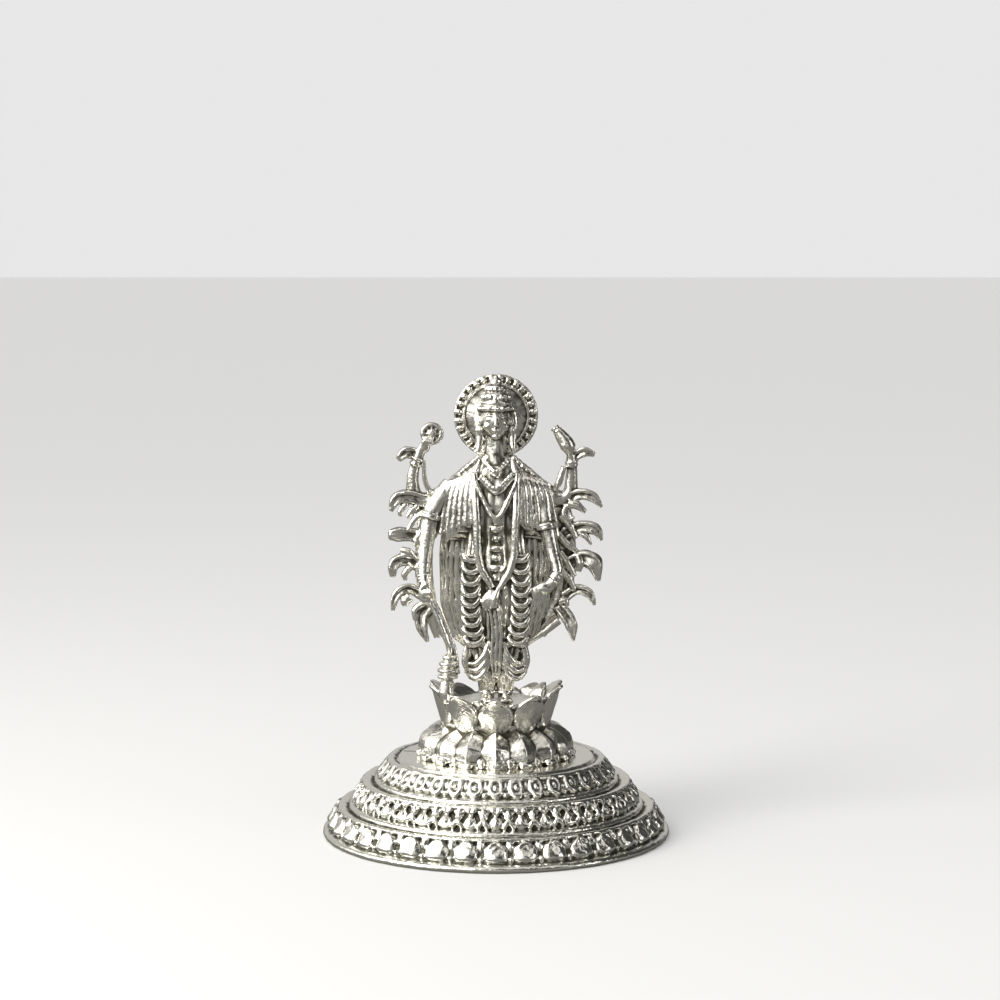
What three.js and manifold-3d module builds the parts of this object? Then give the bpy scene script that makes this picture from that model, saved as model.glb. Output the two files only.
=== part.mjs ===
// A small cast silver idol: a standing, four-armed figure before a round halo, on an open lotus
// that is cast with it, fixed on a round plinth with three sloping bands of relief.
// Millimetres, +Z up, the figure faces -Y. The origin is the middle of the plinth's underside.

import * as THREE from 'three';
import { mergeVertices } from 'three/addons/utils/BufferGeometryUtils.js';
import Module from 'manifold-3d';

const wasm = await Module();
wasm.setup();

// Driving dimensions
const HEIGHT = 100; // from the underside to the top of the halo
const PLINTH_RADIUS = 37.8;
const PLINTH_HEIGHT = 17; // to the flat top plate
const MOTIFS = 36; // relief motifs round each band of the plinth

const SKIRT_PETALS = 16; // turned-down petals under the lotus
const SKIRT_RADIUS = 18.2;
const SKIRT_HEIGHT = 6;
const CUP_PETALS = 10; // open petals round the feet
const CUP_BASE_RADIUS = 12;
const CUP_TIP_RADIUS = 14.6;
const CUP_TIP_HEIGHT = 31.2;
const FEET_HEIGHT = 29.4; // top of the lotus heart, where the feet stand

const HALO_RADIUS = 8.8;
const HALO_BEADS = 28;
const HALO_DEPTH = 2.3; // distance of the halo behind the figure's axis
const HEAD_HEIGHT = 90.2; // middle of the head

const CLOAK_PLEATS = 12;
const ROBE_PLEATS = 9;
const GARLAND_RIBS = 8;

// Basic shapes

// A round shape turned about the upright axis; move(angle, row, radius, height) may shift a point.
function turned(profile, columns, move) {
  const points = profile.map(([radius, height]) => new THREE.Vector2(radius, height));
  const shape = new THREE.LatheGeometry(points, columns);
  shape.rotateX(Math.PI / 2);
  if (move) {
    const place = shape.attributes.position;
    for (let i = 0; i < place.count; i++) {
      const row = i % profile.length;
      const column = Math.floor(i / profile.length) % columns;
      const angle = (2 * Math.PI * column) / columns;
      const [radius, height] = move(angle, row, profile[row][0], profile[row][1]);
      place.setXYZ(i, radius * Math.cos(angle), radius * Math.sin(angle), height);
    }
  }
  return shape;
}

function along(values, t) {
  const reach = t * (values.length - 1);
  const first = Math.min(Math.floor(reach), values.length - 2);
  return THREE.MathUtils.lerp(values[first], values[first + 1], reach - first);
}

// A limb, strand or scroll: a round bar bent along a curve, its radius given from end to end.
// flat is its thickness front to back, as a share of its width.
function limb(path, radii, { flat = 1, sides = 6, steps = 5 } = {}) {
  const curve = new THREE.CatmullRomCurve3(path.map((p) => new THREE.Vector3(...p)));
  const bar = new THREE.CylinderGeometry(1, 1, 1, sides, steps);
  const place = bar.attributes.position;
  const front = new THREE.Vector3(0, 1, 0);
  for (let i = 0; i < place.count; i++) {
    const t = THREE.MathUtils.clamp(place.getY(i) + 0.5, 0, 1);
    const ahead = curve.getTangentAt(t);
    const side = new THREE.Vector3().crossVectors(front, ahead).normalize();
    const back = new THREE.Vector3().crossVectors(ahead, side).normalize();
    const radius = along(radii, t);
    const point = curve.getPointAt(t);
    point.addScaledVector(side, radius * place.getX(i));
    point.addScaledVector(back, -radius * flat * place.getZ(i));
    place.setXYZ(i, point.x, point.y, point.z);
  }
  return bar;
}

// A rounded lump, with its half-sizes along x, y and z.
function lump(middle, sizes, round = 6, rows = 4) {
  const ball = new THREE.SphereGeometry(1, round, rows);
  ball.rotateX(Math.PI / 2);
  ball.scale(...sizes);
  ball.translate(...middle);
  return ball;
}

// Draped cloth round the body: levels of [height, half-width, half-depth, middle y], from the
// hem up, with pleats that are deepest at the hem.
function drapery(levels, pleats, depth) {
  const columns = pleats * 2;
  const rows = levels.length - 1;
  const cloth = new THREE.CylinderGeometry(1, 1, 1, columns, rows);
  cloth.rotateX(Math.PI / 2);
  const place = cloth.attributes.position;
  for (let i = 0; i < place.count; i++) {
    const row = Math.round((place.getZ(i) + 0.5) * rows);
    const [height, wide, deep, middle] = levels[row];
    const angle = Math.atan2(place.getY(i), place.getX(i));
    const reach = Math.hypot(place.getX(i), place.getY(i));
    const fall = 1 - row / rows;
    const fold = 1 - depth * fall * (0.5 - 0.5 * Math.cos(pleats * angle));
    const x = wide * Math.cos(angle) * reach * fold;
    const y = middle + deep * Math.sin(angle) * reach * fold;
    place.setXYZ(i, x, y, height);
  }
  return cloth;
}

// Joining

function solid(shape) {
  const bare = shape.clone();
  bare.deleteAttribute('normal');
  bare.deleteAttribute('uv');
  const merged = mergeVertices(bare, 1e-4);
  const vertProperties = new Float32Array(merged.attributes.position.array);
  const triVerts = new Uint32Array(merged.index.array);
  return new wasm.Manifold(new wasm.Mesh({ numProp: 3, vertProperties, triVerts }));
}

function fused(shapes) {
  const whole = shapes.map(solid).reduce((sum, next) => sum.add(next));
  const { vertProperties, triVerts } = whole.getMesh();
  const shape = new THREE.BufferGeometry();
  shape.setAttribute('position', new THREE.BufferAttribute(vertProperties, 3));
  shape.setIndex(new THREE.BufferAttribute(triVerts, 1));
  shape.computeVertexNormals();
  return shape;
}

// Plinth

// Each row is [radius, height, swing]: swing is how far the relief moves out and in round the
// band, and a negative one puts its peaks over the hollows of the row beside it.
const PLINTH_ROWS = [
  [0, 0, 0],
  [PLINTH_RADIUS - 0.4, 0, 0],
  [PLINTH_RADIUS, 0.8, 0],
  [37.3, 1.7, 0.4],
  [36.7, 3.6, 0.6],
  [34.9, 5.7, 0.5],
  [33.2, 6.3, 0],
  [32.1, 5.6, 0],
  [31.7, 7.4, -0.5],
  [31.1, 9.3, 0.6],
  [29.5, 11.2, -0.5],
  [27.6, 11.9, 0],
  [26.6, 11.3, 0],
  [26.0, 13.5, 0.5],
  [24.4, 15.8, -0.4],
  [22.4, 16.9, 0],
  [21.6, 16.5, 0],
  [21.2, PLINTH_HEIGHT, 0],
  [0, PLINTH_HEIGHT, 0],
];

function plinth() {
  const relief = (angle, row, radius, height) => {
    const swing = PLINTH_ROWS[row][2] * Math.cos(MOTIFS * angle);
    return [radius + swing, height];
  };
  return turned(PLINTH_ROWS, MOTIFS * 2, relief);
}

// Lotus

function lotusSkirt() {
  const base = PLINTH_HEIGHT;
  const profile = [
    [0, base],
    [SKIRT_RADIUS - 1.6, base],
    [SKIRT_RADIUS, base + 0.9],
    [SKIRT_RADIUS - 0.4, base + 2.2],
    [SKIRT_RADIUS - 2.8, base + 4.2],
    [CUP_BASE_RADIUS + 1, base + SKIRT_HEIGHT - 0.4],
    [CUP_BASE_RADIUS - 0.6, base + SKIRT_HEIGHT + 0.4],
    [0, base + SKIRT_HEIGHT + 0.4],
  ];
  const swings = [0, 0.5, 0.9, 0.8, 0.5, 0.2, 0, 0];
  return turned(profile, SKIRT_PETALS * 2, (angle, row, radius, height) => [
    radius + swings[row] * Math.cos(SKIRT_PETALS * angle),
    height,
  ]);
}

function lotusHeart() {
  const foot = PLINTH_HEIGHT + SKIRT_HEIGHT;
  return turned([
    [0, foot - 1],
    [CUP_BASE_RADIUS - 1.2, foot - 1],
    [CUP_BASE_RADIUS + 0.4, foot + 3],
    [CUP_BASE_RADIUS - 0.6, FEET_HEIGHT],
    [0, FEET_HEIGHT],
  ], CUP_PETALS * 2);
}

// One open petal: a rounded shield that leans outwards, cupped, with its tip turned out.
function lotusPetal(turn) {
  const low = PLINTH_HEIGHT + SKIRT_HEIGHT - 0.4;
  const tall = CUP_TIP_HEIGHT - low;
  const petal = new THREE.SphereGeometry(1, 7, 5);
  petal.rotateX(Math.PI / 2);
  const place = petal.attributes.position;
  for (let i = 0; i < place.count; i++) {
    const rise = 0.5 + 0.5 * place.getZ(i);
    const across = place.getX(i) * 4.5 * (1 - 0.25 * rise * rise);
    const lean = CUP_BASE_RADIUS + (CUP_TIP_RADIUS - CUP_BASE_RADIUS) * Math.sqrt(rise);
    const cupped = lean - 0.055 * across * across + 0.7 * place.getY(i);
    place.setXYZ(i, cupped, across, low + tall * rise);
  }
  petal.rotateZ(turn);
  return flipped(petal);
}

// The same surface with its faces turned the other way round.
function flipped(shape) {
  const order = shape.index.array;
  for (let i = 0; i < order.length; i += 3) {
    [order[i], order[i + 1]] = [order[i + 1], order[i]];
  }
  return shape;
}

function lotus() {
  const petals = [];
  for (let i = 0; i < CUP_PETALS; i++) {
    petals.push(lotusPetal(-Math.PI / 2 + (2 * Math.PI * i) / CUP_PETALS));
  }
  return [lotusSkirt(), lotusHeart(), ...petals];
}

// Figure

const CLOAK = [
  [39.5, 6.0, 1.6, 2.4],
  [43.0, 10.2, 2.0, 2.2],
  [50.0, 12.2, 2.5, 2.0],
  [60.0, 12.4, 2.9, 1.9],
  [68.0, 12.0, 3.3, 1.8],
  [74.0, 11.8, 3.5, 1.6],
  [77.2, 10.4, 3.5, 1.4],
  [79.8, 7.4, 3.3, 1.2],
  [82.0, 4.6, 2.8, 1.0],
];

const ROBE = [
  [36.4, 5.2, 2.6, -1.6],
  [39.0, 6.2, 3.0, -1.6],
  [43.0, 7.2, 3.7, -1.6],
  [51.0, 7.8, 4.2, -1.4],
  [59.0, 7.2, 4.3, -1.2],
  [66.0, 6.2, 4.0, -1.0],
  [72.0, 7.0, 4.5, -1.0],
  [77.0, 6.6, 4.0, -0.8],
  [80.4, 4.0, 3.0, -0.6],
];

function legs() {
  return [-1, 1].flatMap((side) => [
    limb([[side * 2.0, -1.6, 38], [side * 2.0, -1.8, 33], [side * 1.9, -1.8, FEET_HEIGHT + 0.2]],
      [2.4, 1.9, 1.5], { steps: 3 }),
    lump([side * 2.2, -3.6, FEET_HEIGHT + 0.7], [1.5, 2.8, 1.1]),
  ]);
}

function head() {
  const face = lump([0, -1.8, HEAD_HEIGHT - 0.4], [3.0, 3.1, 4.1], 9, 7);
  const hair = lump([0, -0.2, HEAD_HEIGHT + 0.6], [3.9, 3.2, 4.2], 8, 6);
  const neck = limb([[0, -0.6, 79], [0, -0.8, 87.5]], [2.3, 1.9], { sides: 8, steps: 1 });
  const nose = lump([0, -4.8, HEAD_HEIGHT - 0.6], [0.5, 0.6, 1.1], 5, 4);
  const ears = [-1, 1].map((side) => lump([side * 3.3, -0.9, HEAD_HEIGHT - 2.4], [1.0, 0.9, 2.6]));
  return [face, hair, neck, nose, ...ears];
}

function crown() {
  const shape = turned([
    [0, HEAD_HEIGHT + 2.2],
    [3.5, HEAD_HEIGHT + 2.2],
    [3.9, HEAD_HEIGHT + 3.1],
    [3.2, HEAD_HEIGHT + 4.0],
    [3.2, HEAD_HEIGHT + 5.2],
    [2.3, HEAD_HEIGHT + 6.0],
    [2.2, HEAD_HEIGHT + 7.2],
    [1.1, HEAD_HEIGHT + 8.2],
    [0.9, HEAD_HEIGHT + 9.1],
    [0, HEAD_HEIGHT + 9.6],
  ], 8);
  shape.translate(0, -1.2, 0);
  return shape;
}

// The halo is turned on its side: its beads are waves of the rim's radius.
function halo() {
  const profile = [
    [0, -1.1],
    [7.6, -1.1],
    [HALO_RADIUS - 0.2, 0],
    [7.4, 0.5],
    [6.8, -0.4],
    [0, -0.4],
  ];
  const rim = 2;
  const shape = turned(profile, HALO_BEADS * 2, (angle, row, radius, height) => {
    const beads = row === rim ? 0.2 * Math.cos(HALO_BEADS * angle) : 0;
    return [radius + beads, height];
  });
  shape.rotateX(Math.PI / 2);
  shape.translate(0, HALO_DEPTH, HEIGHT - HALO_RADIUS);
  return shape;
}

// Lowered arms: the one at the viewer's left rests on a mace, the other is held out open.
function loweredArms() {
  const left = limb([[-9.6, -0.4, 76.2], [-13.4, -1.6, 71], [-14.9, -2.4, 64.5], [-15.5, -3.4, 58],
    [-15.2, -4.2, 54.5]], [2.2, 1.9, 1.7, 1.3, 1.2], { steps: 6 });
  const fist = lump([-15.0, -4.6, 53.6], [1.7, 1.6, 1.7]);
  const right = limb([[9.6, -0.4, 76.2], [10.6, -1.8, 69], [12.0, -2.8, 62.5], [13.2, -4.2, 57.4],
    [11.4, -5.0, 54.8]], [2.2, 1.9, 1.6, 1.3, 1.2], { steps: 6 });
  const palm = lump([9.6, -5.2, 53.8], [2.8, 1.2, 1.5]);
  const fingers = limb([[8.6, -5.3, 53.4], [8.2, -5.4, 50.6], [8.4, -5.2, 47.4]],
    [1.3, 1.0, 0.5], { flat: 0.6, steps: 3 });
  return [left, fist, right, palm, fingers];
}

function mace() {
  const shaft = limb([[-14.7, -4.8, 53], [-12.4, -5.4, 47.6], [-10.0, -5.8, 41], [-9.2, -6.2, 35]],
    [0.9, 0.9, 0.9, 0.9], { steps: 4 });
  const top = lump([-14.8, -4.8, 51.4], [1.3, 1.3, 0.9]);
  const bulb = lump([-10.0, -6.6, 36.2], [2.0, 1.9, 3.0], 7, 5);
  const foot = lump([-10.2, -6.8, 31.4], [1.5, 1.5, 2.6]);
  return [shaft, top, bulb, foot];
}

// Raised arms behind the shoulders, with the disc and the conch in their hands.
function raisedArms() {
  const left = limb([[-9.4, 1.0, 75.2], [-14.4, 1.6, 72.6], [-17.5, 1.4, 73.6], [-17.9, 1.0, 78.4],
    [-16.0, 0.2, 84.0]], [2.2, 1.9, 1.6, 1.2, 1.0], { steps: 7 });
  const leftHand = lump([-15.4, -0.1, 84.3], [1.4, 1.1, 1.4]);
  const disc = turned([[0, -0.7], [1.8, -0.6], [2.6, 0], [1.8, 0.6], [0, 0.7]], 12);
  disc.rotateX(Math.PI / 2);
  disc.translate(-13.8, -0.2, 87.2);
  const right = limb([[9.4, 1.0, 75.2], [13.4, 1.6, 73.0], [15.9, 1.4, 74.2], [16.4, 1.0, 78.8],
    [16.2, 0.4, 82.6]], [2.2, 1.9, 1.6, 1.2, 1.0], { steps: 7 });
  const rightHand = lump([15.9, 0, 83.6], [1.3, 1.1, 1.4]);
  const conch = limb([[16.0, -0.2, 83], [15.3, -0.2, 85], [14.0, -0.2, 86.8], [12.7, -0.2, 88.4]],
    [1.0, 1.8, 1.3, 0.4], { steps: 4 });
  return [left, leftHand, disc, right, rightHand, conch];
}

// Scarf: a band down each side behind the arms, whose outer edge flutters in hooked lappets.
// A lappet runs from its root over a crest to a tip that turns down; [x, z] for each point.
const LEFT_LAPPETS = [
  [[-16.6, 82.6], [-19.4, 83.7], [-21.1, 82.6], [-20.3, 80.8]],
  [[-16.2, 72.8], [-19.8, 74.8], [-22.6, 73.2], [-22.8, 69.8]],
  [[-15.6, 63.0], [-19.4, 64.6], [-22.4, 65.1], [-24.0, 65.0]],
  [[-16.0, 57.4], [-19.8, 60.0], [-22.4, 58.8], [-22.0, 55.8]],
  [[-16.0, 51.6], [-19.4, 53.2], [-22.0, 52.0], [-22.7, 49.2]],
  [[-14.6, 49.8], [-16.2, 47.4], [-16.0, 44.6], [-14.8, 41.8]],
];
const RIGHT_LAPPETS = [
  [[16.6, 83.2], [19.2, 84.6], [20.9, 83.8], [20.8, 82.2]],
  [[14.8, 73.0], [18.4, 74.8], [21.2, 74.2], [22.6, 71.8]],
  [[14.8, 66.2], [18.6, 67.8], [21.6, 67.4], [22.8, 65.2]],
  [[15.6, 59.6], [18.8, 61.2], [21.8, 59.8], [22.8, 55.6]],
  [[14.6, 52.0], [17.6, 53.6], [20.0, 52.8], [21.0, 49.9]],
  [[13.4, 50.4], [15.2, 48.6], [16.4, 45.6], [16.6, 42.2]],
];
const SCARF_DEPTH = 1.2;

function lappet(points) {
  const path = points.map(([x, z], i) => [x, SCARF_DEPTH - 0.5 * i, z]);
  return limb(path, [1.7, 1.6, 1.4, 0.5], { flat: 0.6, sides: 5, steps: 4 });
}

function scarf() {
  const leftBand = limb([[-14.6, 2, 74], [-15.8, 2, 66], [-16.0, 2, 57], [-15.0, 2, 50], [-12.4, 2, 42.5]],
    [2.2, 1.9, 1.9, 1.8, 1.2], { flat: 0.5, steps: 6 });
  const rightBand = limb([[13.4, 2, 74], [14.8, 2, 66], [15.0, 2, 57], [13.6, 2, 50], [9.6, 2, 43]],
    [2.2, 2.8, 2.6, 2.2, 1.2], { flat: 0.5, steps: 6 });
  const rightEnd = limb([[6.6, -1.6, 42.2], [10.2, -1.8, 44.2], [13.4, -1.2, 46.6]],
    [0.8, 0.7, 0.9], { sides: 5, steps: 3 });
  return [leftBand, rightBand, rightEnd, ...[...LEFT_LAPPETS, ...RIGHT_LAPPETS].map(lappet)];
}

// Two thick ribbed garlands hang from the shoulders to the knees.
function garlands() {
  const waves = Array.from({ length: GARLAND_RIBS * 2 + 1 }, (_, i) => (i % 2 ? 1.9 : 1.45));
  return [-1, 1].map((side) => limb(
    [[side * 5.6, -4.4, 60], [side * 5.8, -5.2, 53], [side * 5.4, -5.0, 47], [side * 4.4, -4.6, 41.6]],
    waves, { flat: 0.8, sides: 5, steps: GARLAND_RIBS * 2 }));
}

// Chains and strands on the chest, and the sash with its knot down the middle of the robe.
function ornaments() {
  const strand = { sides: 4, steps: 5 };
  const collar = limb([[-2.4, -1.4, 81.8], [0, -4.4, 79.2], [2.4, -1.4, 81.8]], [0.5, 0.6, 0.5], strand);
  const chain = limb([[-3.6, -4.0, 78.6], [0, -5.8, 75.6], [3.6, -4.0, 78.6]], [0.5, 0.6, 0.5], strand);
  const pendant = limb([[-4.4, -4.4, 77], [0, -6.0, 69.4], [4.4, -4.4, 77]], [0.5, 0.6, 0.5], strand);
  const sides = [-1, 1].map((side) => limb(
    [[side * 4.6, -3.6, 79], [side * 4.2, -5.2, 70], [side * 3.6, -5.6, 60], [side * 0.8, -6.0, 54.4]],
    [0.7, 0.9, 0.9, 0.7], { sides: 5, steps: 5 }));
  const knot = lump([-1.0, -6.0, 51.8], [1.7, 1.0, 2.6]);
  const sash = limb([[0, -5.2, 51], [0.4, -5.4, 46], [0, -4.8, 39.4]], [1.8, 1.6, 1.0],
    { flat: 0.6, steps: 4 });
  return [collar, chain, pendant, ...sides, knot, sash];
}

// Cape hems that lie over the upper arms.
function cape() {
  return [-1, 1].map((side) => lump([side * 8.8, -1.5, 68.6], [2.4, 2.4, 4.4], 7, 5));
}

function idol() {
  return fused([
    ...lotus(),
    drapery(CLOAK, CLOAK_PLEATS, 0.16),
    drapery(ROBE, ROBE_PLEATS, 0.14),
    ...legs(),
    ...head(),
    crown(),
    halo(),
    ...cape(),
    ...loweredArms(),
    ...mace(),
    ...raisedArms(),
    ...scarf(),
    ...garlands(),
    ...ornaments(),
  ]);
}

// Assembly

const plinthSilver = new THREE.MeshStandardMaterial({ color: 0xcbc9bf, roughness: 0.3, metalness: 1 });
const idolSilver = new THREE.MeshStandardMaterial({ color: 0xd2d0c6, roughness: 0.26, metalness: 1 });

function piece(name, shape, material) {
  const mesh = new THREE.Mesh(shape, material);
  mesh.name = name;
  return mesh;
}

const satyanarayanaIdol = new THREE.Group();
satyanarayanaIdol.add(piece('plinth', plinth(), plinthSilver));
satyanarayanaIdol.add(piece('idol', idol(), idolSilver));

export default satyanarayanaIdol;
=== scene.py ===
import math

import bmesh
import bpy
import numpy as np
from mathutils import Matrix, Vector, noise


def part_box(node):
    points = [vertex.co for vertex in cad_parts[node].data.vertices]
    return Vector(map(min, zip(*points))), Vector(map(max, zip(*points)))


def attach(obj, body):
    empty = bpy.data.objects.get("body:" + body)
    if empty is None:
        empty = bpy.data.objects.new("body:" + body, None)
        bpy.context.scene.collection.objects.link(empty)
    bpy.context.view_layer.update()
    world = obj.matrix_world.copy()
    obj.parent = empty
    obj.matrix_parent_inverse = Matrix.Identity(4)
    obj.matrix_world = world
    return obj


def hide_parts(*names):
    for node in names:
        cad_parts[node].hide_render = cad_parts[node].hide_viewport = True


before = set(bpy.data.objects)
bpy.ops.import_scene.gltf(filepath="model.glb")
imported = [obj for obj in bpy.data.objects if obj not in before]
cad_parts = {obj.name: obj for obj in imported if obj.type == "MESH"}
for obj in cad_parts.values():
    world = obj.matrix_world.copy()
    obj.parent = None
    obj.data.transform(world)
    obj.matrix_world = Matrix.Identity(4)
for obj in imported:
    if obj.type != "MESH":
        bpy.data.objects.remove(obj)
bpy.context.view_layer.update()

# Sizes, in millimetres like the castings' own drawings; a finished mesh is scaled to metres

MM = 0.001
PLINTH_RADIUS = 37.8
PLINTH_HEIGHT = 17.0
MOTIFS = 36

SKIRT_PETALS = 16
SKIRT_RADIUS = 18.2
SKIRT_HEIGHT = 6.0
CUP_PETALS = 10
CUP_BASE_RADIUS = 12.0
CUP_TIP_RADIUS = 14.6
FEET_HEIGHT = 29.4

HALO_RADIUS = 9.15
HALO_BEADS = 28
HALO_DEPTH = 2.3
HALO_HEIGHT = 90.8
HEAD_HEIGHT = 90.2

CLOAK_PLEATS = 40
ROBE_PLEATS = 18
GARLAND_RIBS = 9

FRONT = Vector((0, 1, 0))


# Camera, at the photograph's angle

CAMERA_PITCH = math.radians(5.5)  # looking down
CAMERA_DISTANCE = 510.4
CAMERA_AIM_HEIGHT = 72.78
AXIS_OFFSET = -0.87  # the figure stands a little left of the picture's middle


def make_camera():
    data = bpy.data.cameras.new("camera")
    data.lens = 85
    data.sensor_width = 36
    data.clip_start = 0.01
    data.clip_end = 200
    camera = bpy.data.objects.new("camera", data)
    back = CAMERA_DISTANCE * math.cos(CAMERA_PITCH)
    up = CAMERA_AIM_HEIGHT + CAMERA_DISTANCE * math.sin(CAMERA_PITCH)
    camera.location = Vector((-AXIS_OFFSET, -back, up)) * MM
    camera.rotation_euler = (math.pi / 2 - CAMERA_PITCH, 0, 0)
    bpy.context.scene.collection.objects.link(camera)
    bpy.context.scene.camera = camera


# Basic shapes, each added to a mesh in work

def curve_points(path, steps):
    """Points and directions along a smooth curve through the path."""
    points = [Vector(p) for p in path]
    points = [2 * points[0] - points[1], *points, 2 * points[-1] - points[-2]]
    spans = len(points) - 3
    found = []
    for step in range(steps + 1):
        reach = step / steps * spans
        i = min(int(reach), spans - 1)
        t = reach - i
        a, b, c, d = points[i:i + 4]
        place = 0.5 * (2 * b + (c - a) * t + (2 * a - 5 * b + 4 * c - d) * t ** 2
                       + (3 * b - a - 3 * c + d) * t ** 3)
        ahead = 0.5 * ((c - a) + 2 * (2 * a - 5 * b + 4 * c - d) * t
                       + 3 * (3 * b - a - 3 * c + d) * t ** 2)
        found.append((place, ahead.normalized(), step / steps))
    return found


def section(place, ahead, wide, deep, front=FRONT):
    """The matrix that lays a unit circle across a bar at one place."""
    side = front.cross(ahead).normalized()
    back = ahead.cross(side).normalized()
    turn = Matrix((side, back, ahead)).transposed().to_4x4()
    return Matrix.Translation(place) @ turn @ Matrix.Diagonal((wide, deep, 1, 1))


def added(work, small):
    """Adds one finished shape to the mesh in work and gives its vertices there."""
    count = len(small.verts)
    mesh = bpy.data.meshes.new("shape")
    small.to_mesh(mesh)
    small.free()
    work.from_mesh(mesh)
    bpy.data.meshes.remove(mesh)
    return list(work.verts)[-count:]


def stack(work, sections, sides):
    """A closed bar through a row of cross sections. Gives the rings of vertices."""
    small = bmesh.new()
    ring = bmesh.ops.create_circle(small, cap_ends=True, segments=sides, radius=1,
                                   matrix=sections[0])["verts"]
    edges = list(small.edges)
    for before, after in zip(sections, sections[1:]):
        made = bmesh.ops.extrude_edge_only(small, edges=edges)["geom"]
        ring = [g for g in made if isinstance(g, bmesh.types.BMVert)]
        both = set(ring)
        edges = [g for g in made if isinstance(g, bmesh.types.BMEdge) and set(g.verts) <= both]
        bmesh.ops.transform(small, matrix=after @ before.inverted(), verts=ring)
    bmesh.ops.edgeloop_fill(small, edges=edges)
    made = added(work, small)
    return [made[i:i + sides] for i in range(0, len(made), sides)]


def limb(work, path, radii, flat=1.0, sides=16, steps=24, front=FRONT):
    """A limb, strand or scroll: a bar along a curve, its radius given from end to end."""
    spots = np.linspace(0, 1, len(radii))
    sections = []
    for place, ahead, t in curve_points(path, steps):
        radius = float(np.interp(t, spots, radii))
        sections.append(section(place, ahead, radius, radius * flat, front))
    return stack(work, sections, sides)


def lump(work, middle, sizes, turn=(0, 0, 0), square=1.0, round_steps=20, rows=14):
    """A rounded lump, with its half-sizes and its turn in degrees; a low square makes it boxy."""
    turned = Matrix.Identity(4)
    for axis, angle in zip("XYZ", turn):
        turned = Matrix.Rotation(math.radians(angle), 4, axis) @ turned
    small = bmesh.new()
    bmesh.ops.create_uvsphere(small, u_segments=round_steps, v_segments=rows, radius=1)
    for vertex in small.verts:
        vertex.co = [math.copysign(abs(value) ** square, value) for value in vertex.co]
    place = Matrix.Translation(middle) @ turned @ Matrix.Diagonal((*sizes, 1))
    bmesh.ops.transform(small, matrix=place, verts=small.verts)
    return added(work, small)


def ring_bar(work, middle, radius, thick, turn=Matrix.Identity(4), stretch=(1, 1, 1), sides=10, steps=40):
    """A ring of round bar, lying flat unless it is turned, and stretched before it is turned."""
    small = bmesh.new()
    out = Matrix.Translation((radius, 0, 0)) @ Matrix.Rotation(math.pi / 2, 4, "X")
    bmesh.ops.create_circle(small, segments=sides, radius=thick, matrix=out)
    bmesh.ops.spin(small, geom=list(small.verts) + list(small.edges), cent=(0, 0, 0), axis=(0, 0, 1),
                   angle=2 * math.pi, steps=steps, use_merge=True)
    place = Matrix.Translation(middle) @ turn @ Matrix.Diagonal((*stretch, 1))
    bmesh.ops.transform(small, matrix=place, verts=small.verts)
    return added(work, small)


def turned_shape(work, profile, steps):
    """A shape turned about the upright axis from [radius, height] pairs, from axis to axis."""
    small = bmesh.new()
    points = [small.verts.new((radius, 0, height)) for radius, height in profile]
    edges = [small.edges.new(pair) for pair in zip(points, points[1:])]
    bmesh.ops.spin(small, geom=points + edges, cent=(0, 0, 0), axis=(0, 0, 1), angle=2 * math.pi,
                   steps=steps, use_merge=True)
    bmesh.ops.remove_doubles(small, verts=small.verts, dist=1e-5)
    return added(work, small)


def placed(work, place, shapes):
    """Adds what shapes(small) makes, moved to its place."""
    small = bmesh.new()
    shapes(small)
    bmesh.ops.transform(small, matrix=place, verts=small.verts)
    return added(work, small)


def repeated(work, shapes, count, first=0.0):
    """Adds what shapes(small) makes, count times round the upright axis."""
    small = bmesh.new()
    shapes(small)
    bmesh.ops.transform(small, matrix=Matrix.Rotation(first, 4, "Z"), verts=small.verts)
    bmesh.ops.spin(small, geom=list(small.verts) + list(small.edges) + list(small.faces), cent=(0, 0, 0),
                   axis=(0, 0, 1), angle=2 * math.pi * (count - 1) / count, steps=count - 1,
                   use_duplicate=True)
    return added(work, small)


def drapery(work, levels, pleats, depth, sides, rows, sharp=1.6):
    """Cloth round the body: levels of [height, half-width, half-depth, middle y], from the hem up."""
    heights = [level[0] for level in levels]
    sections = []
    for row in range(rows + 1):
        height = heights[0] + (heights[-1] - heights[0]) * row / rows
        wide, deep, middle = (float(np.interp(height, heights, [level[i] for level in levels]))
                              for i in (1, 2, 3))
        sections.append(Matrix.Translation((0, middle, height)) @ Matrix.Diagonal((wide, deep, 1, 1)))
    rings = stack(work, sections, sides)
    for row, (ring, lay) in enumerate(zip(rings, sections)):
        fall = 1 - row / rows
        back = lay.inverted()
        for vertex in ring:
            flat = back @ vertex.co
            angle = math.atan2(flat.y, flat.x)
            wave = 0.5 - 0.5 * math.cos(pleats * angle + 0.6 * math.sin(3 * angle + 2.5 * fall))
            fold = 1 - depth * (0.25 + 0.75 * fall) * wave ** sharp
            vertex.co = lay @ Vector((flat.x * fold, flat.y * fold, flat.z))
    return rings


# Plinth

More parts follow.
